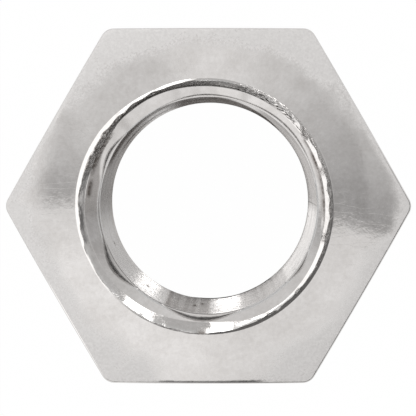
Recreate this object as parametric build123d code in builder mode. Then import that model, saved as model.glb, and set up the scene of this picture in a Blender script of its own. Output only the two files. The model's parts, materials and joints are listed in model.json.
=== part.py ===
from build123d import *
import os
from math import asin, cos, degrees, pi, radians, sqrt, tan

# Wheel nut: one steel piece, cold-forged, plated and tapped right through.
# Z = 0 is the flat end of the conical seat, on which the nut stands.
# The wrench end, with its domed face and raised lip, looks up along +Z.
# Two corners of the hexagon lie on the X axis. All lengths are in millimetres.

# Hexagon
side_count = 6
across_flats = 33.0
face_height = 24.7
corner_radius = 1.25
edge_radius = 0.75

# Domed face at the wrench end, and the steeper turned chamfer over its corners
dome_radius = 85.0
chamfer_diameter = 34.2
chamfer_angle = 30.0

# Internal metric fine thread: the bore stands at its minor diameter
thread_diameter = 22.0
thread_pitch = 1.5
minor_diameter = thread_diameter - 1.0825 * thread_pitch

# Countersink at the wrench end, with the lip that the forging punch raises round it
countersink_diameter = 22.7
countersink_angle = 120.0
lip_width = 0.8
lip_crest_width = 0.25
lip_height = 0.3

# Shallow lobes in the mouth of the bore, one behind each flat
lobe_radius = 6.6
lobe_reach = 0.55
lobe_depth = 2.6

# Conical seat and the countersink in its flat end
seat_angle = 60.0
seat_face_diameter = 25.4
seat_countersink_diameter = 22.9
seat_countersink_angle = 90.0

# Worked out from the sizes above
half_flats = across_flats / 2
blank_radius = half_flats / cos(pi / side_count) + edge_radius
blank_height = face_height + lip_height
minor_radius = minor_diameter / 2
countersink_radius = countersink_diameter / 2
lip_radius = countersink_radius + lip_width
lip_middle = countersink_radius + lip_width / 2
chamfer_radius = chamfer_diameter / 2
seat_face_radius = seat_face_diameter / 2
seat_countersink_radius = seat_countersink_diameter / 2
dome_centre = face_height - sqrt(dome_radius**2 - lip_radius**2)


def cone_rise(included_angle):
    """Height that a cone of this included angle gains for each millimetre of radius."""
    return 1 / tan(radians(included_angle / 2))


def dome_angle(radius):
    """Angle at the dome's centre between the axis and the circle of this radius on the dome."""
    return degrees(asin(radius / dome_radius))


with BuildPart() as nut_body:
    # Hexagonal bar with rounded upright edges
    with BuildSketch() as hexagon:
        RegularPolygon(half_flats, side_count, major_radius=False)
        fillet(hexagon.vertices(), corner_radius)
    extrude(amount=blank_height)

    # Wrench end: a shallow dome that falls away from the foot of the raised lip
    with BuildSketch(Plane.YZ):
        with BuildLine():
            dome = CenterArc(
                (0, dome_centre),
                dome_radius,
                90 - dome_angle(lip_radius),
                dome_angle(lip_radius) - dome_angle(blank_radius),
            )
            Polyline(
                dome @ 1,
                (blank_radius, 0),
                (0, 0),
                (0, face_height),
                (countersink_radius, face_height),
                (lip_middle - lip_crest_width / 2, blank_height),
                (lip_middle + lip_crest_width / 2, blank_height),
                dome @ 0,
            )
        make_face()
    revolve(axis=Axis.Z, mode=Mode.INTERSECT)

    # Soft edge all round the dome, where it runs out over the flats and corners
    rim_edges = (
        nut_body.edges()
        .filter_by(GeomType.LINE, reverse=True)
        .filter_by(lambda edge: edge.center().Z > 0)
        .filter_by(lambda edge: Vector(edge.center().X, edge.center().Y).length > half_flats - edge_radius)
    )
    fillet(rim_edges, edge_radius)

    # Turned chamfer that takes the six corners down
    chamfer_height = dome_centre + sqrt(dome_radius**2 - chamfer_radius**2)
    chamfer_fall = tan(radians(chamfer_angle))
    with BuildSketch(Plane.YZ):
        with BuildLine():
            Polyline(
                (0, 0),
                (blank_radius, 0),
                (blank_radius, chamfer_height - (blank_radius - chamfer_radius) * chamfer_fall),
                (0, chamfer_height + chamfer_radius * chamfer_fall),
                close=True,
            )
        make_face()
    revolve(axis=Axis.Z, mode=Mode.INTERSECT)

    # Seat end: a cone that leaves a narrow flat ring to stand on
    seat_height = cone_rise(seat_angle) * (blank_radius - seat_face_radius)
    with BuildSketch(Plane.YZ):
        with BuildLine():
            Polyline(
                (0, 0),
                (seat_face_radius, 0),
                (blank_radius, seat_height),
                (blank_radius, seat_height + blank_height),
                (0, seat_height + blank_height),
                close=True,
            )
        make_face()
    revolve(axis=Axis.Z, mode=Mode.INTERSECT)

    # Bore
    Hole(minor_radius)

    # Countersinks at both ends
    with BuildSketch(Plane.YZ):
        with BuildLine():
            Polyline(
                (0, face_height - cone_rise(countersink_angle) * countersink_radius),
                (countersink_radius, face_height),
                (0, face_height),
                close=True,
            )
        make_face()
        with BuildLine():
            Polyline(
                (0, cone_rise(seat_countersink_angle) * seat_countersink_radius),
                (seat_countersink_radius, 0),
                (0, 0),
                close=True,
            )
        make_face()
    revolve(axis=Axis.Z, mode=Mode.SUBTRACT)

    # Lobes: round scoops that break out of the bore wall below the countersink
    lobe_centre = minor_radius + lobe_reach - lobe_radius
    with BuildSketch(Plane.XY.offset(face_height - lobe_depth)):
        with PolarLocations(lobe_centre, side_count, start_angle=180 / side_count):
            Circle(lobe_radius)
    extrude(amount=lobe_depth, mode=Mode.SUBTRACT)

nut_body.part.label = "nut_body"

os.makedirs("parts", exist_ok=True)
export_step(nut_body.part, "parts/nut_body.step")
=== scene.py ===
"""Studio scene of a plated steel wheel nut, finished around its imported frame.

Lengths are in metres, in the frame's own axes. Z = 0 is the flat ring at the seat end, +Z looks
towards the wrench end, and two corners of the hexagon lie on the X axis. Azimuths are counted in
degrees from +X towards +Y, and zenith angles in degrees from +Z.
"""

import json
import logging
import math
from dataclasses import dataclass, field, replace
from enum import Enum

import bpy
import numpy as np
from mathutils import Matrix, Vector


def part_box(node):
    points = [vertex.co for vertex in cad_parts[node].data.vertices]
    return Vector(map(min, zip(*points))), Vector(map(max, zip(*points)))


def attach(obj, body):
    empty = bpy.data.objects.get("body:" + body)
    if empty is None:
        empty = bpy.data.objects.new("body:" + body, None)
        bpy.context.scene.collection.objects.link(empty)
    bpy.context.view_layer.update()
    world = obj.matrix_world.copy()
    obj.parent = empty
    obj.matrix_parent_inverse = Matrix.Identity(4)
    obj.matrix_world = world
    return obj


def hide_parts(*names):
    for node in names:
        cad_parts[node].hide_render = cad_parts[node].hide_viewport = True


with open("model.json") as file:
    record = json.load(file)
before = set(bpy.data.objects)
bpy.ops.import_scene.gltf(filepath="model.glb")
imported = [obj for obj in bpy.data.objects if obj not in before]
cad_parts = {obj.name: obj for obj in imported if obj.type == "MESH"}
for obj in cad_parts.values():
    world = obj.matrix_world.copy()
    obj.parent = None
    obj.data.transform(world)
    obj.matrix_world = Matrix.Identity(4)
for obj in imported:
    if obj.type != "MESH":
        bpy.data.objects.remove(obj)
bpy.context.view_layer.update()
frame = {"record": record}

MM = 0.001
FULL_TURN = 2 * math.pi
SIDE_COUNT = 6
# The second mark also carries painted shade in the bore, and the third painted shade on the lip's bead.
MARKS = ("wear", "shade_and_grime", "torn_and_shade", "coarse")

Colour = tuple[float, float, float]
Socket = bpy.types.NodeSocket

log = logging.getLogger("wheel_nut")


class Level(Enum):
    """How bright a studio panel looks in the metal, where 1 is a white wall."""

    BLACK = 0.07
    DIM = 0.18
    GREY = 0.42
    SOFT_GREY = 0.5
    MIST = 0.62
    HAZE = 0.7
    PALE = 0.84
    BRIGHT = 1.13
    GLOW = 1.6
    LAMP = 4.0


def smooth_step(values: np.ndarray | float, low: float, high: float) -> np.ndarray | float:
    """Rise softly from 0 to 1.

    Args:
        values: Numbers to look up.
        low: Where the rise starts.
        high: Where the rise ends.

    Returns:
        The height of the rise at each number.
    """
    share = np.clip((values - low) / (high - low), 0.0, 1.0)
    return share * share * (3 - 2 * share)


def smooth_max(first: np.ndarray, second: np.ndarray, softness: float) -> np.ndarray:
    """Take the larger of two surfaces, with a small round where they cross.

    Args:
        first: The one surface.
        second: The other surface.
        softness: How near the two have to be before the round starts.

    Returns:
        The joined surface.
    """
    gap = np.clip(softness - np.abs(first - second), 0.0, None) / softness
    return np.maximum(first, second) + gap * gap * softness / 4


def bell(values: np.ndarray | float, middle: float, width: float) -> np.ndarray | float:
    """Rise softly to 1 at a middle and fall away on both sides of it.

    Args:
        values: Numbers to look up.
        middle: Where the bell is highest.
        width: How far from the middle it has sunk to about a third.

    Returns:
        The height of the bell at each number.
    """
    return np.exp(-(((values - middle) / width) ** 2))


@dataclass(frozen=True)
class Stretch:
    """A stretch of the way round the axis, with soft ends, and how strongly it counts.

    Its middle, half of its width and the width of each soft end are in degrees.
    """

    middle: float
    half_width: float
    feather: float
    strength: float = 1.0

    def along(self, angles: np.ndarray) -> np.ndarray:
        """The strength inside the stretch, 0 outside it and a soft change between, at each angle."""
        away = np.abs((np.degrees(angles) - self.middle + 180) % 360 - 180)
        return self.strength * (1 - smooth_step(away, self.half_width, self.half_width + self.feather))


def marked(angles: np.ndarray, stretches: tuple[Stretch, ...]) -> np.ndarray:
    """Add several stretches up.

    Args:
        angles: Angles in radians.
        stretches: The stretches, each with its own strength.

    Returns:
        Their sum at each angle.
    """
    return sum(stretch.along(angles) for stretch in stretches)


@dataclass(frozen=True)
class Contour:
    """A closed line round the axis, given in millimetres from the axis at even azimuths."""

    reaches: tuple[float, ...]

    def along(self, angles: np.ndarray) -> np.ndarray:
        """Follow the line.

        Args:
            angles: Angles in radians.

        Returns:
            Distances from the axis, in a smooth line through the given ones.
        """
        values = np.array(self.reaches) * MM
        place = angles / FULL_TURN * values.size
        before = np.floor(place).astype(int)
        share = place - before
        start, first, second, end = (values[(before + step) % values.size] for step in (-1, 0, 1, 2))
        bend = 2 * start - 5 * first + 4 * second - end + share * (3 * (first - second) + end - start)
        return first + share / 2 * (second - start + share * bend)


@dataclass(frozen=True)
class Unevenness:
    """Roughness along a ring that repeats after a full turn, as a seeded sum of waves.

    Its lowest and highest waves are given by how often they rise in a turn, and the size of each wave is
    drawn between the weakest and 1.
    """

    seed: int
    lowest: int
    highest: int
    weakest: float = 0.3

    def along(self, angles: np.ndarray) -> np.ndarray:
        """Work out the roughness.

        Args:
            angles: Angles in radians.

        Returns:
            Heights with a spread of about 1.
        """
        draw = np.random.default_rng(self.seed)
        waves = np.arange(self.lowest, self.highest + 1)
        phases = draw.uniform(0, FULL_TURN, waves.size)
        sizes = draw.uniform(self.weakest, 1.0, waves.size)
        total = (sizes[:, None] * np.cos(waves[:, None] * angles + phases[:, None])).sum(axis=0)
        return total / math.sqrt((sizes**2).sum() / 2)

    def over(self, angles: np.ndarray, share: float, bands: int) -> np.ndarray:
        """Work out roughness that also changes softly across a strip of surface.

        Args:
            angles: Angles in radians.
            share: Place across the strip, from 0 to 1.
            bands: Number of bands across the strip that differ from each other.

        Returns:
            Heights with a spread of about 1.
        """
        place = share * bands
        lower = math.floor(place)
        blend = place - lower
        first = replace(self, seed=self.seed + lower).along(angles)
        second = replace(self, seed=self.seed + lower + 1).along(angles)
        return first * math.cos(math.pi / 2 * blend) + second * math.sin(math.pi / 2 * blend)


@dataclass
class Ring:
    """One closed ring of vertices round the bore's axis, with what the finish reads from it."""

    radius: np.ndarray
    height: np.ndarray
    # Painted shade in the bore and on the flattened turns, with stains, specks and the lip's nick.
    shade_and_grime: np.ndarray | float = 0.0
    wear: np.ndarray | float = 0.0
    # Tearing, whose dark colour also paints shade on the lip's bead.
    torn_and_shade: np.ndarray | float = 0.0
    coarse: np.ndarray | float = 0.0


def rounded_corner(before: Ring, corner: Ring, after: Ring, steps: int, wear: float) -> list[Ring]:
    """Round a corner of the section.

    Args:
        before: Ring on the face before the corner, where the round starts.
        corner: The sharp corner.
        after: Ring on the face after the corner, where the round ends.
        steps: Number of strips in the round.
        wear: How bare the corner is rubbed.

    Returns:
        The rings of the round, with both ends.
    """
    rings = []
    for step in range(steps + 1):
        share = step / steps
        weights = ((1 - share) ** 2, 2 * share * (1 - share), share**2)
        parts = (before, corner, after)
        radius = sum(weight * part.radius for weight, part in zip(weights, parts))
        height = sum(weight * part.height for weight, part in zip(weights, parts))
        rings.append(Ring(radius, height, wear=wear * math.sin(math.pi * share)))
    return rings


@dataclass
class Hexagon:
    """The wrench hexagon: its rounded outline, domed face, turned chamfer and soft rim.

    Its plating is sandy and matt over the corners and along the edges. In the shiny stretches the sand
    starts further out, and in others it is thin.
    """

    half_flats: float
    corner_radius: float = 1.25 * MM
    rim_radius: float = 0.2 * MM
    roll_width: float = 0.9 * MM
    roll_depth: float = 0.045 * MM
    dome_radius: float = 85.0 * MM
    dome_foot_radius: float = 12.15 * MM
    dome_foot_height: float = 24.7 * MM
    chamfer_radius: float = 16.7 * MM
    chamfer_angle: float = 20.0
    chamfer_softness: float = 0.45 * MM
    fold: Stretch = Stretch(180, 20, 10)
    fold_radius: float = 12.52 * MM
    fold_width: float = 0.09 * MM
    fold_height: float = 0.009 * MM
    sand_width: float = 2.6 * MM
    sand_line: Unevenness = Unevenness(55, 5, 40)
    sand_waver: float = 0.15 * MM
    shiny: tuple[Stretch, ...] = (Stretch(7, 12, 10, 2.5 * MM), Stretch(168, 16, 10, 1.5 * MM))
    thin_sand: tuple[Stretch, ...] = (
        Stretch(270, 13, 10, 0.9),
        Stretch(30, 10, 8, 0.5),
        Stretch(150, 8, 8, 0.4),
    )
    edge_sand: float = 0.7
    edge_sand_reach: tuple[float, float] = (0.1 * MM, 0.85 * MM)
    clean_edge: Stretch = Stretch(268, 38, 12)

    def outline(self, angles: np.ndarray, inset: float) -> np.ndarray:
        """Distance from the axis to the rounded hexagon.

        Args:
            angles: Angles in radians.
            inset: How far the outline is drawn in, parallel to itself.

        Returns:
            The distance at each angle.
        """
        half_side = math.pi / SIDE_COUNT
        from_corner = np.abs((angles + half_side) % (2 * half_side) - half_side)
        apothem = self.half_flats - inset
        corner = self.corner_radius - inset
        reach = (apothem - corner) / math.cos(half_side)
        tangent_angle = math.atan2(corner * math.sin(half_side), reach + corner * math.cos(half_side))
        across_corner = np.clip(corner**2 - (reach * np.sin(from_corner)) ** 2, 0.0, None)
        on_corner = reach * np.cos(from_corner) + np.sqrt(across_corner)
        on_flat = apothem / np.cos(half_side - from_corner)
        return np.where(from_corner < tangent_angle, on_corner, on_flat)

    def dome(self, radius: np.ndarray | float) -> np.ndarray | float:
        """Height of the bare dome at a distance from the axis."""
        centre = self.dome_foot_height - math.sqrt(self.dome_radius**2 - self.dome_foot_radius**2)
        return centre + np.sqrt(self.dome_radius**2 - radius**2)

    def face(self, angles: np.ndarray, radius: np.ndarray) -> np.ndarray:
        """Height of the face, with the chamfer over its corners and the roll along its edges.

        A faint fold runs beside the lip, at -X.

        Args:
            angles: Angles in radians.
            radius: Distance from the axis at each angle.

        Returns:
            The height at each angle.
        """
        fall = math.tan(math.radians(self.chamfer_angle))
        chamfer = self.dome(self.chamfer_radius) - (radius - self.chamfer_radius) * fall
        inset = (self.outline(angles, 0.0) - radius) / self.roll_width
        dome = self.dome(radius) - self.roll_depth * np.clip(1 - inset, 0.0, 1.0) ** 2
        fold = bell(radius, self.fold_radius, self.fold_width) * self.fold.along(angles)
        return self.fold_height * fold - smooth_max(-dome, -chamfer, self.chamfer_softness)

    def coarseness(self, angles: np.ndarray, radius: np.ndarray) -> np.ndarray:
        """How sandy and matt the plating is.

        Args:
            angles: Angles in radians.
            radius: Distance from the axis at each angle.

        Returns:
            0 where it is bright, 1 where it is all sand.
        """
        outward = radius + self.sand_waver * self.sand_line.along(angles) - marked(angles, self.shiny)
        corner = smooth_step(outward, self.chamfer_radius - self.sand_width, self.chamfer_radius)
        corner = corner * (1 - marked(angles, self.thin_sand))
        inset = self.outline(angles, 0.0) - radius
        edge = 1 - smooth_step(inset, *self.edge_sand_reach)
        return np.maximum(corner, self.edge_sand * edge * (1 - self.clean_edge.along(angles)))


@dataclass
class Thread:
    """The internal metric thread, right-handed, with a fine burr along the upper edge of its crests.

    The edges of crest, burr and root are shares of the pitch, from the middle of the crest. Painted shade
    lies over parts of the turns and two scratched stretches with streaks, and fills one side of the bore.
    """

    minor_radius: float
    major_radius: float = 11.0 * MM
    pitch: float = 1.5 * MM
    crest_edge: float = 0.125
    burr_edge: float = 0.165
    burr_width: float = 0.15 * MM
    root_edge: float = 0.4375
    # Painted shade, darker towards the roots of the turns.
    root_shade: float = 0.25
    line_dirt: float = 0.07
    line_seed: int = 300
    line_waves: tuple[int, int] = (1, 9)
    # Painted shade over parts of the turns, and over the scratched stretches with their streaks.
    painted_shade: float = 0.5
    shaded_stretches: tuple[Stretch, ...] = (Stretch(158, 16, 24), Stretch(30, 27, 10, 0.8))
    scored_and_shaded: tuple[Stretch, ...] = (Stretch(258, 11, 3), Stretch(302, 13, 3, 0.5))
    streaks: Unevenness = Unevenness(400, 30, 110)
    streak_dirt: float = 0.1
    # Painted shade low in one side of the bore, thinner higher up beside it, and a painted shadow line
    # across it.
    shade_in_bore: float = 0.85
    low_shade: Stretch = Stretch(78, 26, 14)
    low_shade_top: float = 22.0 * MM
    low_shade_climb: tuple[float, float] = (40.0, 84.0)
    low_shade_softness: float = 2.0 * MM
    high_shade: Stretch = Stretch(130, 20, 14, 0.65)
    high_shade_rise: tuple[float, float] = (13.0 * MM, 18.0 * MM)
    shade_line: Stretch = Stretch(130, 14, 8, 0.55)
    shade_line_height: float = 8.5 * MM
    shade_line_width: float = 1.3 * MM
    spots: tuple[tuple[float, float], ...] = (
        (203.0, 11.5 * MM),
        (233.5, 11.5 * MM),
        (266.0, 9.5 * MM),
        (262.0, 12.0 * MM),
    )
    spot_width: float = 0.8
    spot_height: float = 0.9 * MM
    spot_dirt: float = 0.7

    def radius(self, angles: np.ndarray, heights: np.ndarray) -> np.ndarray:
        """Distance from the axis to the thread's surface.

        Args:
            angles: Angles in radians.
            heights: Height at each angle.

        Returns:
            The distance at each angle.
        """
        turn = (heights / self.pitch - angles / FULL_TURN + 0.5) % 1.0 - 0.5
        depth = self.major_radius - self.minor_radius
        crest = (-self.crest_edge, self.crest_edge)
        edges = (-0.5, -self.root_edge, *crest, self.burr_edge, self.root_edge, 0.5)
        reaches = (depth, depth, 0.0, 0.0, self.burr_width, depth, depth)
        return self.minor_radius + np.interp(turn, edges, reaches)

    def rings(self, angles: np.ndarray, low: float, high: float) -> list[Ring]:
        """Rings that climb along the edges of crest and root, held between two heights.

        A ring climbs by one pitch in its turn, so its end meets the start of the ring a pitch above.

        Args:
            angles: Angles in radians.
            low: Height at which the thread starts.
            high: Height at which it ends.

        Returns:
            The rings, from the lowest up.
        """
        edges = (-self.crest_edge, self.crest_edge, self.burr_edge, self.root_edge, 1 - self.root_edge)
        first = math.floor(low / self.pitch) - 2
        last = math.ceil(high / self.pitch) + 1
        rings = []
        for turn in range(first, last + 1):
            for edge in edges:
                climb = self.pitch * (turn + edge + angles / FULL_TURN)
                if climb[-1] <= low or climb[0] >= high:
                    continue
                height = np.clip(climb, low, high)
                line = Unevenness(self.line_seed + len(rings), *self.line_waves).along(angles)
                # Painted shade with spots and streaks, plus a faint darker wavy line along each ring.
                dirt_and_shade = self.shade_and_grime(angles, height) + self.line_dirt * np.clip(line, 0.0, None)
                rings.append(Ring(self.radius(angles, height), height, shade_and_grime=dirt_and_shade))
        return rings

    def shade_and_grime(self, angles: np.ndarray, heights: np.ndarray) -> np.ndarray:
        """How dark the turns are painted, with painted shade, spots and streaks.

        Args:
            angles: Angles in radians.
            heights: Height at each angle.

        Returns:
            0 where the metal is left bare, 1 where it is fully darkened.
        """
        depth = (self.radius(angles, heights) - self.minor_radius) / (self.major_radius - self.minor_radius)
        scored_and_shaded = marked(angles, self.scored_and_shaded)
        painted_shade = marked(angles, self.shaded_stretches) + scored_and_shaded
        spots = sum(
            bell(np.degrees(angles), place, self.spot_width) * bell(heights, height, self.spot_height)
            for place, height in self.spots
        )
        # Painted shade over parts of the turns, in one side of the bore and towards the roots, with spots
        # and streaks.
        shade_and_grime = self.painted_shade * painted_shade + self.shade_in_bore * self._shade_in_bore(angles, heights) + self.spot_dirt * spots
        streaks = scored_and_shaded * self.streaks.along(angles)
        return np.clip(shade_and_grime + self.root_shade * depth + self.streak_dirt * streaks, 0.0, 1.0)

    def _shade_in_bore(self, angles: np.ndarray, heights: np.ndarray) -> np.ndarray:
        """Painted shade low in one side of the bore, thinner higher up beside it, and a painted shadow line
        across it.

        Args:
            angles: Angles in radians.
            heights: Height at each angle.

        Returns:
            How strong the painted shade is, from 0 to 1.
        """
        start, end = self.low_shade_climb
        top = self.low_shade_top * np.clip((np.degrees(angles) - start) / (end - start), 0.0, 1.0)
        below = smooth_step(top - heights, -self.low_shade_softness, self.low_shade_softness)
        low = below * self.low_shade.along(angles)
        high = smooth_step(heights, *self.high_shade_rise) * self.high_shade.along(angles)
        line = bell(heights, self.shade_line_height, self.shade_line_width) * self.shade_line.along(angles)
        return np.maximum(np.maximum(low, high), line)


@dataclass(frozen=True)
class Lobe:
    """One shallow scoop in the mouth of the bore."""

    azimuth: float
    half_width: float
    reach: float

    def along(self, angles: np.ndarray) -> np.ndarray:
        """How far the scoop reaches beyond the bore at each angle."""
        away = np.abs((np.degrees(angles) - self.azimuth + 180) % 360 - 180) / self.half_width
        return self.reach * MM * (1 + np.cos(math.pi * np.clip(away, 0.0, 1.0))) / 2


@dataclass
class Mouth:
    """The dished countersink at the wrench end and the lobes below it.

    The punch that made them also flattened the first turns of the thread. Places across the dish are
    shares of the way from the wall up to the lip's foot.
    """

    minor_radius: float
    ledge_height: float = 22.1 * MM
    ledge_step: float = 0.01 * MM
    ledge_sag: float = 0.02
    ledge_spread: float = 0.04
    dish_slope: float = 16.0
    lobes: tuple[Lobe, ...] = (
        Lobe(48.0, 42.0, 0.25),
        Lobe(93.0, 30.0, 0.24),
        Lobe(152.0, 17.0, 0.36),
        Lobe(186.0, 30.0, 0.09),
        Lobe(213.0, 19.0, 0.56),
        Lobe(266.0, 24.0, 0.5),
        Lobe(326.0, 13.0, 0.2),
    )
    wall_rings: int = 8
    dish_rings: int = 14
    # Painted shade on the wall below the dish, darkest at the ledge, and on the flattened turns.
    wall_shade: float = 0.3
    turn_shade: tuple[Stretch, ...] = (Stretch(113, 34, 8, 0.8), Stretch(245, 40, 10, 0.8))
    stain: Stretch = Stretch(165, 16, 10)
    stain_edge: float = 0.8
    stain_slant: tuple[float, float] = (168.0, 144.0)
    stain_softness: float = 0.12
    stain_dirt: float = 0.5
    fleck: Stretch = Stretch(171.5, 2.0, 3.5)
    fleck_place: float = 0.72
    fleck_width: float = 0.15
    fleck_tearing: float = 0.5
    fleck_dirt: float = 0.2
    fringes: tuple[Stretch, ...] = (Stretch(153, 6, 9, 0.6), Stretch(14, 20, 8, 0.5))
    fringe_rise: tuple[float, float] = (0.45, 0.85)
    smear: Stretch = Stretch(15, 18, 5)
    smear_waves: Unevenness = Unevenness(61, 10, 60)
    smear_dirt: float = 0.6
    smear_spread: float = 0.1
    smear_place: float = 0.7
    smear_width: float = 0.32
    haze: tuple[Stretch, ...] = (Stretch(136, 10, 8), Stretch(88, 16, 10, 0.8))
    haze_waves: Unevenness = Unevenness(62, 6, 50)
    haze_dirt: float = 0.1
    haze_spread: float = 0.07

    def bore(self, angles: np.ndarray) -> np.ndarray:
        """Distance from the axis to the wall below the dish, with the lobes."""
        return self.minor_radius + sum(lobe.along(angles) for lobe in self.lobes)

    def rings(self, angles: np.ndarray, low: float, foot: Ring) -> list[Ring]:
        """Rings from the flattened turns, over the lobes' ledge and up the dish.

        Args:
            angles: Angles in radians.
            low: Height at which the thread ends.
            foot: Ring at the lip's inner foot, where the dish ends.

        Returns:
            The rings up to the foot, without the foot itself.
        """
        narrow = np.full_like(angles, self.minor_radius)
        wide = self.bore(angles)
        reach = wide - narrow
        ledge_foot = self.ledge_height - self.ledge_step
        # Painted shade on the flattened turns, in two stretches.
        dirt_and_shade = marked(angles, self.turn_shade)
        rings = [
            Ring(narrow, np.full_like(angles, low + self.ledge_step), shade_and_grime=dirt_and_shade),
            Ring(narrow, ledge_foot - self.ledge_sag * reach, shade_and_grime=dirt_and_shade),
            Ring(narrow + self.ledge_spread * reach, np.full_like(angles, ledge_foot)),
        ]
        edge = foot.height - (foot.radius - wide) * math.tan(math.radians(self.dish_slope))
        for step in range(self.wall_rings):
            share = step / self.wall_rings
            height = self.ledge_height + (edge - self.ledge_height) * share
            # Painted shade on the wall, darkest at the ledge.
            rings.append(Ring(wide, height, shade_and_grime=self.wall_shade * (1 - share)))
        for step in range(self.dish_rings):
            share = step / self.dish_rings
            radius = wide + (foot.radius - wide) * share
            height = edge + (foot.height - edge) * share
            dirt_and_shade = self._dirt(angles, share)
            rings.append(Ring(radius, height, shade_and_grime=dirt_and_shade, torn_and_shade=self._tearing_and_shade(angles, share)))
        return rings

    def _spot(self, angles: np.ndarray, share: float) -> np.ndarray:
        """How much of the fleck lies at a place across the dish."""
        return self.fleck.along(angles) * bell(share, self.fleck_place, self.fleck_width)

    def _dirt(self, angles: np.ndarray, share: float) -> np.ndarray:
        """How dirty the dish is, with its stain, fleck, smear and haze.

        Args:
            angles: Angles in radians.
            share: Place across the dish, from 0 to 1.

        Returns:
            The dirt at each angle.
        """
        start, end = self.stain_slant
        stain_edge = self.stain_edge * np.clip((start - np.degrees(angles)) / (start - end), 0.0, 1.0)
        stained = smooth_step(share - stain_edge, -self.stain_softness, self.stain_softness)
        stain = self.stain_dirt * stained * self.stain.along(angles)
        smear = self.smear_dirt + self.smear_spread * self.smear_waves.along(angles)
        smear = smear * self.smear.along(angles) * bell(share, self.smear_place, self.smear_width)
        haze = np.clip(self.haze_dirt + self.haze_spread * self.haze_waves.along(angles), 0.0, 1.0)
        return stain + self.fleck_dirt * self._spot(angles, share) + smear + haze * marked(angles, self.haze)

    def _tearing_and_shade(self, angles: np.ndarray, share: float) -> np.ndarray:
        """How much tearing the dish has, with the fringes that carry the bead's tearing and painted shade
        into it.

        Args:
            angles: Angles in radians.
            share: Place across the dish, from 0 to 1.

        Returns:
            The tearing at each angle.
        """
        # The fringes carry the bead's painted shade into the dish.
        fringe = np.maximum(*(fringe.along(angles) for fringe in self.fringes))
        fringe = fringe * smooth_step(share, *self.fringe_rise)
        return np.clip(fringe + self.fleck_tearing * self._spot(angles, share), 0.0, 1.0)


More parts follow.
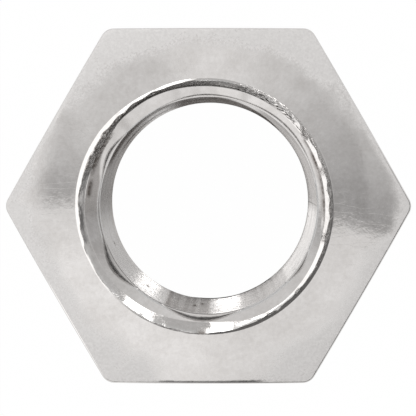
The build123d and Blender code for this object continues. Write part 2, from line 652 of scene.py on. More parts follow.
@dataclass
class TornLip:
    """The bead of metal that the punch raised round the countersink, smooth in places and ragged in others.

    It stands a little off centre, towards -X. Its inner side climbs from its foot to the crest, and its
    outer side falls from the crest to the face. A place on them is a share of that climb or fall. The
    dark colour of its tearing is partly painted shade, on its inner side towards +Y and -X and on its
    outer side towards +X and -Y.
    """

    top_height: float
    outer: Contour = Contour(
        (11.54, 11.54, 11.66, 11.82, 11.87, 12.19, 12.24, 12.08, 11.97, 11.82, 11.74, 11.66)
    )
    crest: Contour = Contour(
        (11.10, 11.13, 11.40, 11.60, 11.65, 11.72, 11.94, 11.91, 11.79, 11.66, 11.33, 11.25)
    )
    foot: Contour = Contour(
        (10.78, 10.82, 10.98, 11.11, 11.36, 11.26, 11.42, 11.29, 11.03, 10.70, 11.13, 10.97)
    )
    outer_slope: float = 35.0
    inner_slope: float = 30.0
    steeper: Stretch = Stretch(32.5, 92.5, 10, 14.0)
    inner_strips: int = 12
    outer_strips: int = 8
    inner_spread: float = 2.0
    outer_spread: float = 1.5
    top_drift: Unevenness = Unevenness(11, 3, 16)
    top_waver: float = 0.006 * MM
    top_drop: float = 0.01 * MM
    crest_round: float = 0.012 * MM
    crest_width: float = 0.35
    line_drift: Unevenness = Unevenness(31, 7, 48)
    line_waver: float = 0.03 * MM
    line_width: float = 0.7
    rubbing: float = 0.8
    rubbed_width: float = 0.5
    pit: Stretch = Stretch(267.0, 1.4, 1.2, 0.85)
    pit_width: float = 0.75
    torn_depth: float = 0.022 * MM
    torn_shift: float = 0.02 * MM
    crumpled: Stretch = Stretch(55, 17, 8)
    crumple_depth: float = 0.032 * MM
    crumple_rise: float = 2.5
    crumple_end: float = 3.0
    lumps: Unevenness = Unevenness(100, 9, 70)
    lump_bands: int = 5
    lump_share: float = 0.8
    crumbs: Unevenness = Unevenness(200, 40, 150)
    crumb_bands: int = 9
    crumb_share: float = 0.6
    # These tears also paint shade on the inner side, from +Y round to -X.
    inner_tears_and_shade: tuple[Stretch, ...] = (Stretch(105, 15, 12, 0.5), Stretch(83, 12, 12, 0.3))
    inner_tear_rise: tuple[float, float] = (0.05, 0.3)
    narrow_tear_and_shade: Stretch = Stretch(130, 14, 8)
    narrow_tear_rise: tuple[float, float] = (0.25, 0.5)
    broad_tear_and_shade: Stretch = Stretch(152, 7, 8)
    crest_tear_and_shade: Stretch = Stretch(176, 15, 10, 0.6)
    rising_scuff: Stretch = Stretch(57, 14, 10, 0.2)
    scuffs_and_breaks: tuple[Stretch, ...] = (
        Stretch(12, 24, 8, 0.15),
        Stretch(17.5, 1.3, 1.8, 0.6),
        Stretch(36.5, 1.3, 1.8, 0.6),
        Stretch(345.0, 1.3, 1.8, 0.6),
    )
    # Painted shade on the outer side, from -Y round to +X, carried by the tearing.
    outer_shade: tuple[Stretch, ...] = (
        Stretch(5, 30, 8),
        Stretch(308, 20, 10, 0.4),
        Stretch(260, 7, 5, 0.6),
    )
    outer_shade_fade: float = 0.8
    outer_scuff: Stretch = Stretch(57, 16, 10, 0.25)
    outer_line: Stretch = Stretch(226, 24, 10, 0.7)
    outer_line_fade: float = 1.8
    tear_fade: float = 4.0

    def rings(self, angles: np.ndarray, face: np.ndarray) -> list[Ring]:
        """Rings of the bead, from its inner foot to just before its outer foot.

        Args:
            angles: Angles in radians.
            face: Height of the face at the outer foot.

        Returns:
            The rings, with the inner foot first.
        """
        outer = self.outer.along(angles)
        crest = self.crest.along(angles)
        foot = self.foot.along(angles)
        top = face + (outer - crest) * math.tan(math.radians(self.outer_slope))
        top = top + self.top_waver * self.top_drift.along(angles) - self.top_drop
        lean = np.radians(self.inner_slope + self.steeper.along(angles))
        foot_height = top - (crest - foot) * np.tan(lean)
        top = np.minimum(top, self.top_height)
        drift = self.line_waver * self.line_drift.along(angles)
        strips = self.inner_strips + self.outer_strips
        rings = []
        for strip in range(strips):
            climb = min(strip / self.inner_strips, 1.0)
            fall = max(strip - self.inner_strips, 0) / self.outer_strips
            from_crest = (1 - climb) * self.inner_spread + fall * self.outer_spread
            radius = foot + (crest - foot) * climb + (outer - crest) * fall
            radius = radius + drift * bell(from_crest, 0.0, self.line_width)
            height = foot_height + (top - foot_height) * climb - (top - face) * fall
            height = height - self.crest_round * bell(from_crest, 0.0, self.crest_width)
            torn_and_shade = self._tearing_and_shade(angles, climb, fall)
            crumpled = self.crumpled.along(angles)
            crumpled = crumpled * min(1.0, self.crumple_rise * climb, self.crumple_end * (1 - fall))
            ends = math.sin(math.pi * (strip + 0.5) / strips) ** 0.5
            lump = self.lumps.over(angles, climb + fall, self.lump_bands)
            crumb = self.crumbs.over(angles, climb + fall, self.crumb_bands)
            depth = ends * (torn_and_shade * self.torn_depth + crumpled * self.crumple_depth)
            height = height + depth * (self.lump_share * lump + self.crumb_share * crumb)
            radius = radius + ends * (torn_and_shade + crumpled) * self.torn_shift * lump
            wear = self.rubbing * bell(from_crest, 0.0, self.rubbed_width) * (1 - torn_and_shade)
            pit = self.pit.along(angles) * bell(from_crest, 0.0, self.pit_width)
            rings.append(Ring(radius, np.minimum(height, self.top_height), shade_and_grime=pit, wear=wear, torn_and_shade=torn_and_shade))
        return rings

    def _tearing_and_shade(self, angles: np.ndarray, climb: float, fall: float) -> np.ndarray:
        """How much tearing the bead has, with painted shade in its dark colour.

        Args:
            angles: Angles in radians.
            climb: Place on the inner side, from 0 at its foot to 1 at the crest.
            fall: Place on the outer side, from 0 at the crest to 1 at the face.

        Returns:
            The tearing, with its painted shade, at each angle, from 0 to 1.
        """
        inside = np.maximum(*(tear.along(angles) for tear in self.inner_tears_and_shade))
        inside = inside * smooth_step(climb, *self.inner_tear_rise)
        broad = self.broad_tear_and_shade.along(angles) + self.crest_tear_and_shade.along(angles) * climb**4
        if fall == 0:
            narrow = self.narrow_tear_and_shade.along(angles) * smooth_step(climb, *self.narrow_tear_rise)
            scuffs = self.rising_scuff.along(angles) * climb + marked(angles, self.scuffs_and_breaks)
            return np.clip(inside + narrow + broad + scuffs, 0.0, 1.0)
        # Painted shade on the outer side, fading away from the crest.
        dirt_and_shade = marked(angles, self.outer_shade) * max(1 - self.outer_shade_fade * fall, 0.0)
        line = self.outer_line.along(angles) * max(1 - self.outer_line_fade * fall, 0.0)
        tears_and_shade = (inside + broad) * max(1 - self.tear_fade * fall, 0.0)
        return np.clip(dirt_and_shade + self.outer_scuff.along(angles) + line + tears_and_shade, 0.0, 1.0)


@dataclass
class Seat:
    """The conical seat, the ring that the nut stands on and the countersink inside it.

    Each of its edges is given by the strips of its round and by how bare it is rubbed.
    """

    half_angle: float = 30.0
    ring_radius: float = 12.7 * MM
    countersink_radius: float = 11.45 * MM
    edge_break: float = 0.3 * MM
    fine_break: float = 0.15 * MM
    cone_edge: tuple[int, float] = (4, 0.6)
    ring_edge: tuple[int, float] = (3, 0.5)
    countersink_edge: tuple[int, float] = (3, 0.4)

    def cone_height(self, radius: np.ndarray) -> np.ndarray:
        """Height of the cone at a distance from the axis."""
        return (radius - self.ring_radius) / math.tan(math.radians(self.half_angle))


@dataclass(frozen=True)
class Grain:
    """One layer of noise in a finish: its scale to the millimetre, its detail and its roughness."""

    scale: float
    detail: float
    roughness: float


class NodeSheet:
    """A new material's node tree, with short names for the few nodes that the finishes use."""

    def __init__(self, name: str) -> None:
        """Make the material, with nothing in its tree.

        Args:
            name: The material's name.
        """
        self.material = bpy.data.materials.new(name)
        self.material.use_nodes = True
        self.tree = self.material.node_tree
        self.tree.nodes.clear()

    def add(self, kind: str, **settings: object) -> bpy.types.Node:
        """Add a node.

        Args:
            kind: Blender's name for the node's type.
            settings: Properties of the node or values of its inputs, by name.

        Returns:
            The new node.
        """
        node = self.tree.nodes.new(kind)
        for name, value in settings.items():
            if hasattr(node, name):
                setattr(node, name, value)
            else:
                node.inputs[name].default_value = value
        return node

    def link(self, source: Socket, target: Socket) -> None:
        """Join two sockets."""
        self.tree.links.new(source, target)

    def feed(self, value: Socket | float, target: Socket) -> None:
        """Give an input a socket or a fixed number.

        Args:
            value: The socket or the number.
            target: The input.
        """
        if isinstance(value, float):
            target.default_value = value
        else:
            self.link(value, target)

    def attribute(self, name: str) -> Socket:
        """Read one of the marks that the mesh carries."""
        return self.add("ShaderNodeAttribute", attribute_name=name).outputs["Fac"]

    def noise(self, where: Socket, layer: Grain) -> Socket:
        """Spread cloudy noise over the surface.

        Args:
            where: Place on the surface, in millimetres.
            layer: The noise's scale, detail and roughness.

        Returns:
            The noise.
        """
        node = self.add(
            "ShaderNodeTexNoise", Scale=layer.scale, Detail=layer.detail, Roughness=layer.roughness
        )
        self.link(where, node.inputs["Vector"])
        return node.outputs["Fac"]

    def remap(
        self, value: Socket, low: float, high: float, to_low: float = 0.0, to_high: float = 1.0
    ) -> Socket:
        """Stretch a range of values to another, held at its ends.

        Args:
            value: The value to change.
            low: Start of its range.
            high: End of its range.
            to_low: What the start becomes.
            to_high: What the end becomes.

        Returns:
            The changed value.
        """
        node = self.add("ShaderNodeMapRange", clamp=True)
        self.link(value, node.inputs["Value"])
        for name, number in zip(("From Min", "From Max", "To Min", "To Max"), (low, high, to_low, to_high)):
            node.inputs[name].default_value = number
        return node.outputs["Result"]

    def combine(self, operation: str, first: Socket, second: Socket | float) -> Socket:
        """Work out one value from two.

        Args:
            operation: Blender's name for the sum.
            first: The one value.
            second: The other value, or a fixed number.

        Returns:
            The result.
        """
        node = self.add("ShaderNodeMath", operation=operation)
        self.link(first, node.inputs[0])
        self.feed(second, node.inputs[1])
        return node.outputs["Value"]

    def multiply(self, first: Socket, second: Socket | float) -> Socket:
        """Multiply two values."""
        return self.combine("MULTIPLY", first, second)

    def total(self, first: Socket, second: Socket | float) -> Socket:
        """Add two values."""
        return self.combine("ADD", first, second)

    def blend_colours(self, share: Socket, first: Socket | Colour, second: Colour) -> Socket:
        """Blend a colour towards a second one.

        Args:
            share: How much of the second colour shows.
            first: The first colour, fixed or from a socket.
            second: The second colour.

        Returns:
            The blend.
        """
        # With colours, the Mix node uses its inputs 0, 6 and 7 and its output 2.
        node = self.add("ShaderNodeMix", data_type="RGBA")
        self.link(share, node.inputs[0])
        if isinstance(first, tuple):
            node.inputs[6].default_value = (*first, 1.0)
        else:
            self.link(first, node.inputs[6])
        node.inputs[7].default_value = (*second, 1.0)
        return node.outputs[2]

    def bump(self, height: Socket, strength: float, distance: float, under: Socket | None) -> Socket:
        """Raise the surface by a height.

        Args:
            height: The height, from 0 to 1.
            strength: How strongly it shows.
            distance: How far the greatest height stands out.
            under: The bump that it lies on, if there is one.

        Returns:
            The surface's new direction.
        """
        node = self.add("ShaderNodeBump", Strength=strength, Distance=distance)
        self.link(height, node.inputs["Height"])
        if under is not None:
            self.link(under, node.inputs["Normal"])
        return node.outputs["Normal"]

    def cover(self, share: Socket, below: Socket, above: Socket) -> Socket:
        """Lay one shader over another.

        Args:
            share: How much of the upper one shows.
            below: The lower shader.
            above: The upper shader.

        Returns:
            The mixed shader.
        """
        mix = self.add("ShaderNodeMixShader")
        for source, target in zip((share, below, above), mix.inputs):
            self.link(source, target)
        return mix.outputs["Shader"]

    def finish(self, surface: Socket) -> bpy.types.Material:
        """Send a shader to the surface.

        Args:
            surface: The shader.

        Returns:
            The finished material.
        """
        output = self.add("ShaderNodeOutputMaterial")
        self.link(surface, output.inputs["Surface"])
        return self.material


@dataclass(frozen=True)
class PlatedSteel:
    """Bright zinc plating over forged steel: satin, faintly clouded, rubbed at its edges.

    A range gives the levels of a layer of noise between which something sets in.
    """

    name: str = "plated_steel_finish"
    bright: Colour = (0.710, 0.690, 0.677)
    dull: Colour = (0.598, 0.576, 0.560)
    rubbed: Colour = (0.76, 0.755, 0.745)
    # Dark colour for stains and specks, and for painted shade in the bore and on the bead.
    soil_and_shade: Colour = (0.115, 0.098, 0.088)
    sandy: Colour = (0.622, 0.604, 0.592)
    pitted: Colour = (0.53, 0.513, 0.502)
    refraction: float = 1.8
    clouds: Grain = Grain(0.42, 5.0, 0.6)
    mottle: Grain = Grain(2.6, 4.0, 0.62)
    fine: Grain = Grain(14.0, 3.0, 0.6)
    crumbs: Grain = Grain(4.2, 4.0, 0.7)
    mottle_share: float = 0.45
    tone_range: tuple[float, float] = (0.36, 0.64)
    rubbed_range: tuple[float, float] = (0.3, 0.62)
    speckle_range: tuple[float, float] = (0.40, 0.60)
    thinnest_speckle: float = 0.25
    # How dark tearing makes the colour, which paints shade on the bead.
    torn_dirt_and_shade: float = 0.85
    drift_range: tuple[float, float] = (0.35, 0.65)
    broad_drifts: tuple[float, float] = (0.65, 1.4)
    small_drifts: tuple[float, float] = (0.75, 1.3)
    pit_range: tuple[float, float] = (0.62, 0.36)
    rough_range: tuple[float, float] = (0.3, 0.7)
    smoothest: float = 0.06
    roughest: float = 0.14
    # Roughness added where the dark colour lies, over painted shade as well as stains.
    dirt_and_shade_roughness: float = 0.35
    rough_sand: float = 0.35
    sand_roughness: float = 0.4
    matt_sand: float = 0.55
    sand_metal: float = 0.05
    cloud_height: float = 0.018 * MM
    mottle_height: float = 0.0035 * MM
    fine_height: float = 0.0008 * MM
    fine_strength: float = 0.6
    scratch_depth: float = 0.0015 * MM
    scratch_strength: float = 0.5
    scratch_turn: tuple[float, float, float] = (0.3, 0.2, 0.9)
    scratch_stretch: tuple[float, float, float] = (0.25, 1.6, 1.6)
    scratch_scale: float = 0.9
    scratch_width: float = 0.02
    torn_height: float = 0.09 * MM
    sand_height: float = 0.01 * MM

    def build(self) -> bpy.types.Material:
        """Make the material.

        Returns:
            The finished node material.
        """
        sheet = NodeSheet(self.name)
        place = sheet.add("ShaderNodeTexCoord").outputs["Object"]
        millimetres = sheet.add("ShaderNodeMapping", Scale=(1 / MM, 1 / MM, 1 / MM))
        sheet.link(place, millimetres.inputs["Vector"])
        where = millimetres.outputs["Vector"]

        layers = (self.clouds, self.mottle, self.fine, self.crumbs)
        clouds, mottle, fine, crumbs = (sheet.noise(where, layer) for layer in layers)
        wear, shade_and_grime, torn_and_shade, coarse = (sheet.attribute(mark) for mark in MARKS)
        kept_clouds = sheet.multiply(clouds, 1 - self.mottle_share)
        both = sheet.total(kept_clouds, sheet.multiply(mottle, self.mottle_share))
        # The dark mix: painted shade in the bore and on the bead, with stains and specks.
        speckle = sheet.multiply(torn_and_shade, sheet.remap(crumbs, *self.speckle_range, self.thinnest_speckle, 1.0))
        dirt_and_shade = sheet.total(shade_and_grime, sheet.multiply(speckle, self.torn_dirt_and_shade))
        patches = sheet.remap(clouds, *self.drift_range, *self.broad_drifts)
        drifts = sheet.multiply(sheet.remap(crumbs, *self.drift_range, *self.small_drifts), patches)
        sand = sheet.combine("MINIMUM", sheet.multiply(coarse, drifts), 1.0)

        shader = sheet.add("ShaderNodeBsdfPrincipled", IOR=self.refraction)
        colour = sheet.blend_colours(sheet.remap(both, *self.tone_range), self.dull, self.bright)
        rubbing = sheet.multiply(wear, sheet.remap(fine, *self.rubbed_range))
        pits = sheet.multiply(sand, sheet.remap(crumbs, *self.pit_range))
        shades = ((rubbing, self.rubbed), (sand, self.sandy), (pits, self.pitted), (dirt_and_shade, self.soil_and_shade))
        for share, shade in shades:
            colour = sheet.blend_colours(share, colour, shade)
        sheet.link(colour, shader.inputs["Base Color"])

        metal = sheet.remap(sand, 0.0, self.matt_sand, 1.0, self.sand_metal)
        sheet.link(metal, shader.inputs["Metallic"])
        rough = sheet.remap(both, *self.rough_range, self.smoothest, self.roughest)
        rough = sheet.total(rough, sheet.multiply(dirt_and_shade, self.dirt_and_shade_roughness))
        rough = sheet.total(rough, sheet.remap(sand, self.rough_sand, 1.0, 0.0, self.sand_roughness))
        sheet.link(rough, shader.inputs["Roughness"])

        relief = None
        for height, strength, distance in (
            (clouds, 1.0, self.cloud_height),
            (mottle, 1.0, self.mottle_height),
            (fine, self.fine_strength, self.fine_height),
            (self._scratches(sheet, where), self.scratch_strength, self.scratch_depth),
            (sheet.multiply(torn_and_shade, crumbs), 1.0, self.torn_height),
            (sheet.multiply(sand, crumbs), 1.0, self.sand_height),
        ):
            relief = sheet.bump(height, strength, distance, relief)
        sheet.link(relief, shader.inputs["Normal"])
        return sheet.finish(shader.outputs["BSDF"])

    def _scratches(self, sheet: NodeSheet, where: Socket) -> Socket:
        """Fine handling scratches, as the thin edges of stretched cells.

        Args:
            sheet: The node tree.
            where: Place on the surface, in millimetres.

        Returns:
            0 in the middle of a scratch, 1 beside it.
        """
        turned = sheet.add("ShaderNodeMapping", Rotation=self.scratch_turn, Scale=self.scratch_stretch)
        sheet.link(where, turned.inputs["Vector"])
        cells = sheet.add("ShaderNodeTexVoronoi", feature="DISTANCE_TO_EDGE", Scale=self.scratch_scale)
        sheet.link(turned.outputs["Vector"], cells.inputs["Vector"])
        return sheet.remap(cells.outputs["Distance"], 0.0, self.scratch_width)


@dataclass
class WheelNut:
    """The nut itself: one forged, tapped and plated piece.

    It starts as a plain round section that is spun about the axis. Its vertices then move to the rings
    of the nut's own section.
    """

    finish: PlatedSteel = field(default_factory=PlatedSteel)
    name: str = "plated_nut"
    columns: int = 480
    corner_crowding: float = 0.35
    countersink_rings: int = 14
    face_strips: int = 28
    face_easing: float = 1.15
    rim_strips: int = 5
    rim_wear: float = 0.4
    rim_sand: Stretch = Stretch(112, 82, 20, 0.95)
    flat_strips: int = 9
    first_flat_strip: float = 0.02
    cone_strips: int = 7
    thread_start: float = 1.5 * MM
    thread_end: float = 21.3 * MM
    edge_softness: float = 0.05 * MM
    blank_place: float = 0.8
    blank_thickness: float = 0.2
    spin_gap: float = 0.0005
    merge_distance: float = 1e-6
    smooth_angle: float = 32.0

    def __post_init__(self) -> None:
        """Take the sizes that the frame holds, and lay out the features."""
        _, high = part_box("nut_body")
        mounts = {mount["name"]: mount for mount in frame["record"]["mounts"]}
        self.hexagon = Hexagon(half_flats=high.y)
        self.thread = Thread(minor_radius=mounts["stud_thread"]["dims"]["r_mm"] * MM)
        self.mouth = Mouth(self.thread.minor_radius)
        self.lip = TornLip(high.z)
        self.seat = Seat()
        self.blank_middle = self.blank_place * self.hexagon.half_flats
        turns = np.linspace(0.0, 1.0, self.columns + 1)
        crowding = self.corner_crowding / SIDE_COUNT
        self.angles = FULL_TURN * turns - crowding * np.sin(SIDE_COUNT * FULL_TURN * turns)

    def build(self) -> bpy.types.Object:
        """Model and dress the nut.

        Returns:
            The finished piece, in place of the frame's plain node.
        """
        rings = self._section()
        nut = self._spin(len(rings))
        self._shape(nut, rings)
        self._close(nut)
        nut.data.materials.append(self.finish.build())
        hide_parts("nut_body")
        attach(nut, "root")
        return nut

    def _section(self) -> list[Ring]:
        """Follow the section up the bore, over the face, down the flats and round the seat.

        Returns:
            All rings of the nut.
        """
        bore = self._seat_countersink()
        bore += self.thread.rings(self.angles, self.thread_start, self.thread_end)
        face = self._face()
        lip = self.lip.rings(self.angles, face[0].height)
        bore += self.mouth.rings(self.angles, self.thread_end, lip[0])
        return bore + lip + face + self._rim() + self._flats() + self._cone_and_ring()

    def _seat_countersink(self) -> list[Ring]:
        """Shape the countersink at the seat end, up to where the thread is whole.

        Returns:
            Its rings, from the lowest up.
        """
        rings = []
        for height in np.linspace(self.seat.fine_break, self.thread_start, self.countersink_rings):
            heights = np.full_like(self.angles, height)
            cone = np.full_like(self.angles, self.seat.countersink_radius - height)
            radius = smooth_max(self.thread.radius(self.angles, heights), cone, self.edge_softness)
            rings.append(Ring(radius, heights))
        return rings

    def _face(self) -> list[Ring]:
        """Shape the domed face, from the lip's foot to where the rim starts to roll over.

        Returns:
            Its rings, with the innermost first.
        """
        start = self.lip.outer.along(self.angles)
        end = self.hexagon.outline(self.angles, self.hexagon.rim_radius)
        rings = []
        for strip in range(self.face_strips + 1):
            share = (strip / self.face_strips) ** self.face_easing
            radius = start + (end - start) * share
            coarse = self.hexagon.coarseness(self.angles, radius)
            rings.append(Ring(radius, self.hexagon.face(self.angles, radius), coarse=coarse))
        return rings

    def _rim(self) -> list[Ring]:
        """Shape the soft rim between the face and the flats.

        Returns:
            Its rings, with the highest first.
        """
        edge = self.hexagon.rim_radius
        coarse = self.rim_sand.along(self.angles)
        rings = []
        for strip in range(1, self.rim_strips + 1):
            roll = math.pi / 2 * strip / self.rim_strips
            radius = self.hexagon.outline(self.angles, edge * (1 - math.sin(roll)))
            height = self.hexagon.face(self.angles, radius) - edge * (1 - math.cos(roll))
            rings.append(Ring(radius, height, wear=self.rim_wear * math.sin(2 * roll), coarse=coarse))
        return rings

    def _flats(self) -> list[Ring]:
        """Shape the flats, from the rim down to just above the cone's edge.

        Returns:
            Their rings, with the highest first.
        """
        outline = self.hexagon.outline(self.angles, 0.0)
        top = self.hexagon.face(self.angles, outline) - self.hexagon.rim_radius
        bottom = self.seat.cone_height(outline) + self.seat.edge_break
        rings = []
        for strip in range(self.flat_strips):
            share = strip / self.flat_strips if strip else self.first_flat_strip
            rings.append(Ring(outline, top + (bottom - top) * share))
        return rings

    def _cone_and_ring(self) -> list[Ring]:
        """Shape the conical seat and the ring that the nut stands on.

        Returns:
            Their rings, from the flats inwards to the countersink.
        """
        seat = self.seat
        flat = np.zeros_like(self.angles)
        outline = self.hexagon.outline(self.angles, 0.0)
        bottom = seat.cone_height(outline)
        inwards = math.sin(math.radians(seat.half_angle))
        downwards = math.cos(math.radians(seat.half_angle))
        edge = seat.edge_break
        fine = seat.fine_break
        above = Ring(outline, bottom + edge)
        below = Ring(outline - edge * inwards, bottom - edge * downwards)
        outer = Ring(flat + seat.ring_radius, flat)
        outer_cone = Ring(outer.radius + fine * inwards, outer.height + fine * downwards)
        inner = Ring(flat + seat.countersink_radius, flat)
        inner_cone = Ring(inner.radius - fine, inner.height + fine)
        rings = rounded_corner(above, Ring(outline, bottom), below, *seat.cone_edge)
        for strip in range(1, self.cone_strips):
            share = strip / self.cone_strips
            radius = below.radius + (outer_cone.radius - below.radius) * share
            rings.append(Ring(radius, seat.cone_height(radius)))
        rings += rounded_corner(outer_cone, outer, Ring(outer.radius - fine, flat), *seat.ring_edge)
        ring_end = Ring(inner.radius + fine, flat)
        rings += rounded_corner(ring_end, inner, inner_cone, *seat.countersink_edge)[:-1]
        return rings

    def _spin(self, ring_count: int) -> bpy.types.Object:
        """Spin a plain round section about the axis, a hair short of the full turn.

        Args:
            ring_count: Number of vertices in the section.

        Returns:
            The open blank, whose first and last sections still lie apart.
        """
        bpy.ops.object.select_all(action="DESELECT")
        bpy.ops.mesh.primitive_circle_add(
            vertices=ring_count,
            radius=self.blank_thickness * self.hexagon.half_flats,
            location=(self.blank_middle, 0, 0),
            rotation=(math.pi / 2, 0, 0),
        )
        nut = bpy.context.active_object
        nut.name = self.name
        bpy.ops.object.transform_apply(location=True, rotation=True, scale=True)
        spin = nut.modifiers.new("spin", "SCREW")
        spin.axis = "Z"
        spin.angle = FULL_TURN * (1 - self.spin_gap)
        spin.steps = spin.render_steps = self.columns
        bpy.ops.object.modifier_apply(modifier=spin.name)
        return nut

    def _shape(self, nut: bpy.types.Object, rings: list[Ring]) -> None:
        """Move each vertex of the blank to its place, and mark for the finish what it is like there.

        Args:
            nut: The spun blank.
            rings: The nut's rings, in the order of the blank's section.
        """
        places = np.empty(len(nut.data.vertices) * 3)
        nut.data.vertices.foreach_get("co", places)
        places = places.reshape(-1, 3)
        away = np.hypot(places[:, 0], places[:, 1])
        turn = np.arctan2(places[:, 1], places[:, 0]) / FULL_TURN
        step = (1 - self.spin_gap) / self.columns
        column = np.rint(((turn + step / 2) % 1.0 - step / 2) / step).astype(int)
        lean = np.arctan2(places[:, 2], away - self.blank_middle) / FULL_TURN
        row = np.rint((lean - lean[0]) * len(rings)).astype(int) % len(rings)
        full = np.ones_like(self.angles)
        radius = np.array([ring.radius * full for ring in rings])[row, column]
        height = np.array([ring.height * full for ring in rings])[row, column]
        angle = self.angles[column]
        moved = np.column_stack((radius * np.cos(angle), radius * np.sin(angle), height))
        nut.data.vertices.foreach_set("co", moved.ravel())
        for mark in MARKS:
            values = np.array([getattr(ring, mark) * full for ring in rings])[row, column]
            layer = nut.data.attributes.new(mark, "FLOAT", "POINT")
            layer.data.foreach_set("value", np.clip(values, 0.0, 1.0).astype(np.float32))
        nut.data.update()

    def _close(self, nut: bpy.types.Object) -> None:
        """Weld the seam and the ends of the climbing thread rings, and smooth the piece.

        Args:
            nut: The shaped blank, which is the active object.
        """
        bpy.ops.object.mode_set(mode="EDIT")
        bpy.ops.mesh.select_all(action="SELECT")
        bpy.ops.mesh.remove_doubles(threshold=self.merge_distance)
        bpy.ops.mesh.select_all(action="SELECT")
        bpy.ops.mesh.normals_make_consistent(inside=False)
        bpy.ops.object.mode_set(mode="OBJECT")
        bpy.ops.object.shade_smooth_by_angle(angle=math.radians(self.smooth_angle))


@dataclass
class Panel:
    """A panel of the light tent, seen only in the metal: a pale lamp face or a dark flag.

    Its azimuths and zenith angles are in degrees. Its side fades are shares of its width, and its end
    fades shares of its height.
    """

    name: str
    azimuths: tuple[float, float]
    zeniths: tuple[float, float]
    level: Level
    side_fades: tuple[float, float]
    end_fades: tuple[float, float]
    distance: float
    sharpest: float = 0.002
    columns: int = 24
    rows: int = 12

    def build(self) -> bpy.types.Object:
        """Bend a grid to a patch of a sphere round the nut.

        Returns:
            The panel.
        """
        bpy.ops.object.select_all(action="DESELECT")
        bpy.ops.mesh.primitive_grid_add(x_subdivisions=self.columns, y_subdivisions=self.rows, size=2.0)
        panel = bpy.context.active_object
        panel.name = self.name
        for vertex in panel.data.vertices:
            azimuth = math.radians(self._between(self.azimuths, (vertex.co.x + 1) / 2))
            zenith = math.radians(self._between(self.zeniths, (vertex.co.y + 1) / 2))
            flat = math.sin(zenith)
            direction = Vector((flat * math.cos(azimuth), flat * math.sin(azimuth), math.cos(zenith)))
            vertex.co = direction * self.distance
        panel.data.materials.append(self._material())
        panel.visible_camera = False
        panel.visible_diffuse = False
        panel.visible_shadow = False
        return panel

    def _between(self, ends: tuple[float, float], share: float) -> float:
        """A value between two ends."""
        return ends[0] + (ends[1] - ends[0]) * share

    def _material(self) -> bpy.types.Material:
        """Make a glowing face whose edges fade out.

        Returns:
            The finished node material.
        """
        sheet = NodeSheet(self.name)
        place = sheet.add("ShaderNodeTexCoord").outputs["UV"]
        axes = sheet.add("ShaderNodeSeparateXYZ")
        sheet.link(place, axes.inputs["Vector"])
        across = self._fade(sheet, axes.outputs["X"], self.side_fades)
        upwards = self._fade(sheet, axes.outputs["Y"], self.end_fades)
        clear = sheet.add("ShaderNodeBsdfTransparent").outputs["BSDF"]
        glow = sheet.add("ShaderNodeEmission", Strength=self.level.value).outputs["Emission"]
        return sheet.finish(sheet.cover(sheet.multiply(across, upwards), clear, glow))

    def _fade(self, sheet: NodeSheet, along: Socket, fades: tuple[float, float]) -> Socket:
        """Let the panel fade out at both ends of one direction.

        Args:
            sheet: The panel's node tree.
            along: Place in that direction, from 0 to 1.
            fades: Share of the panel over which each end fades.

        Returns:
            How much of the panel is there.
        """
        first, last = (max(fade, self.sharpest) for fade in fades)
        rise = sheet.remap(along, 0.0, first)
        return sheet.multiply(rise, sheet.remap(along, 1.0, 1.0 - last))


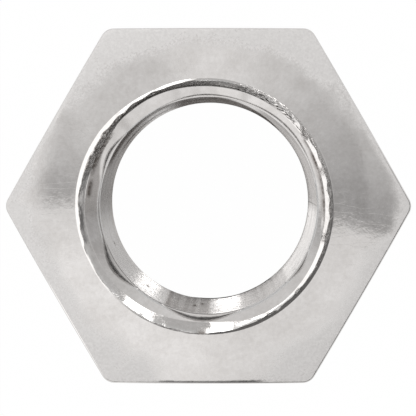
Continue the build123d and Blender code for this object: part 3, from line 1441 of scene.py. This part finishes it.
@dataclass
class Studio:
    """Pale floor, soft tent of light and the camera that looks down on the nut."""

    floor_size: float = 4.0
    floor_drop: float = 0.00002
    floor_colour: Colour = (0.92, 0.92, 0.92)
    floor_glow: float = 0.99
    bore_shade: float = 0.5
    bore_shade_reach: tuple[float, float] = (10.0 * MM, 18.0 * MM)
    camera_place: tuple[float, float, float] = (1.6 * MM, 4.75 * MM, 201.0 * MM)
    camera_target: tuple[float, float, float] = (-0.03 * MM, -0.16 * MM, 23.6 * MM)
    nearest_seen: float = 10.0 * MM
    frame_width: float = 38.56 * MM
    sensor: float = 36.0

    def build(self) -> None:
        """Set up floor, light and camera."""
        self._floor()
        self._world()
        for panel in self._panels():
            panel.build()
        self._camera()
        bpy.context.scene.view_settings.view_transform = "Standard"

    def _floor(self) -> None:
        """Lay a pale floor that keeps a light shadow, and that the metal sees shaded inside the bore."""
        bpy.ops.object.select_all(action="DESELECT")
        bpy.ops.mesh.primitive_plane_add(size=self.floor_size, location=(0, 0, -self.floor_drop))
        floor = bpy.context.active_object
        floor.name = "floor"
        sheet = NodeSheet("pale_floor")
        ray = sheet.add("ShaderNodeLightPath").outputs
        away = sheet.add("ShaderNodeVectorMath", operation="LENGTH")
        sheet.link(sheet.add("ShaderNodeTexCoord").outputs["Object"], away.inputs[0])
        open_floor = sheet.remap(away.outputs["Value"], *self.bore_shade_reach, self.bore_shade, 1.0)
        mirrored = sheet.multiply(sheet.total(ray["Is Glossy Ray"], ray["Is Transmission Ray"]), open_floor)
        seen = sheet.multiply(sheet.total(ray["Is Camera Ray"], mirrored), self.floor_glow)
        share = sheet.combine("MINIMUM", seen, self.floor_glow)
        matt = sheet.add("ShaderNodeBsdfDiffuse", Color=(*self.floor_colour, 1.0)).outputs["BSDF"]
        glow = sheet.add("ShaderNodeEmission", Strength=1.0).outputs["Emission"]
        floor.data.materials.append(sheet.finish(sheet.cover(share, matt, glow)))

    def _world(self) -> None:
        """Put a white surround round the scene."""
        world = bpy.data.worlds.new("white_tent")
        world.use_nodes = True
        background = world.node_tree.nodes["Background"]
        background.inputs["Color"].default_value = (1.0, 1.0, 1.0, 1.0)
        background.inputs["Strength"].default_value = 1.0
        bpy.context.scene.world = world

    def _panels(self) -> list[Panel]:
        """Place the tent's lamps and flags by where the metal shows them.

        Returns:
            The panels.
        """
        return [
            Panel("flag_right", (-13, 86), (9, 46), Level.GREY, (0.02, 0.93), (0.0, 0.1), 0.60),
            Panel("veil_right", (-10, 48), (27, 50), Level.HAZE, (0.55, 0.45), (0.03, 0.1), 0.59),
            Panel("flag_left", (148, 183), (9, 36), Level.SOFT_GREY, (0.85, 0.05), (0.0, 0.3), 0.58),
            Panel("veil_left", (100, 166), (9, 40), Level.PALE, (0.2, 0.2), (0.0, 0.1), 0.60),
            Panel("sheet_left", (188, 282), (9, 46), Level.BRIGHT, (0.18, 0.2), (0.0, 0.1), 0.60),
            Panel("wall_right", (-30, 122), (38, 104), Level.MIST, (0.15, 0.08), (0.1, 0.0), 0.56),
            Panel("wall_low", (250, 345), (41, 64), Level.BLACK, (0.1, 0.15), (0.1, 0.1), 0.62),
            Panel("skirt_low", (228, 384), (52, 80), Level.DIM, (0.08, 0.12), (0.1, 0.05), 0.55),
            Panel("skirt_deep", (266, 384), (78, 104), Level.DIM, (0.1, 0.12), (0.1, 0.0), 0.548),
            Panel("window_left", (126, 226), (38, 90), Level.GLOW, (0.08, 0.08), (0.08, 0.0), 0.57),
            Panel("window_low", (92, 217), (84, 104), Level.GLOW, (0.08, 0.08), (0.1, 0.0), 0.54),
            Panel("window_far", (94, 132), (67, 90), Level.GLOW, (0.08, 0.1), (0.05, 0.0), 0.545),
            Panel("lamp_near_high", (49.5, 62.5), (39, 54), Level.LAMP, (0.04, 0.04), (0.1, 0.04), 0.40),
            Panel("lamp_near_low", (53.5, 66), (53, 67), Level.LAMP, (0.04, 0.04), (0.1, 0.1), 0.40),
            Panel("lamp_far_high", (97.5, 113), (39, 54), Level.LAMP, (0.04, 0.12), (0.1, 0.04), 0.40),
            Panel("lamp_far_low", (97.5, 131), (53, 66), Level.LAMP, (0.02, 0.04), (0.1, 0.1), 0.40),
            Panel("camera_front", (0, 360), (0, 9), Level.BLACK, (0.0, 0.0), (0.0, 0.1), 0.30),
        ]

    def _camera(self) -> None:
        """Aim a long lens down past the axis, with +Y up in the picture."""
        place = Vector(self.camera_place)
        forward = (Vector(self.camera_target) - place).normalized()
        right = forward.cross(Vector((0, 1, 0))).normalized()
        up = right.cross(forward)
        data = bpy.data.cameras.new("camera")
        data.sensor_width = self.sensor
        data.lens = self.sensor * (place.z - self.camera_target[2]) / self.frame_width
        data.clip_start = self.nearest_seen
        camera = bpy.data.objects.new("camera", data)
        turn = Matrix((right, up, -forward)).transposed().to_4x4()
        camera.matrix_world = Matrix.Translation(place) @ turn
        bpy.context.scene.collection.objects.link(camera)
        bpy.context.scene.camera = camera


def main() -> None:
    """Build the studio and the nut, and note how many vertices and faces the nut has."""
    logging.basicConfig(level=logging.INFO, format="%(name)s: %(message)s")
    Studio().build()
    nut = WheelNut().build()
    log.info("%s: %d vertices, %d faces", nut.name, len(nut.data.vertices), len(nut.data.polygons))


if __name__ == "__main__":
    main()
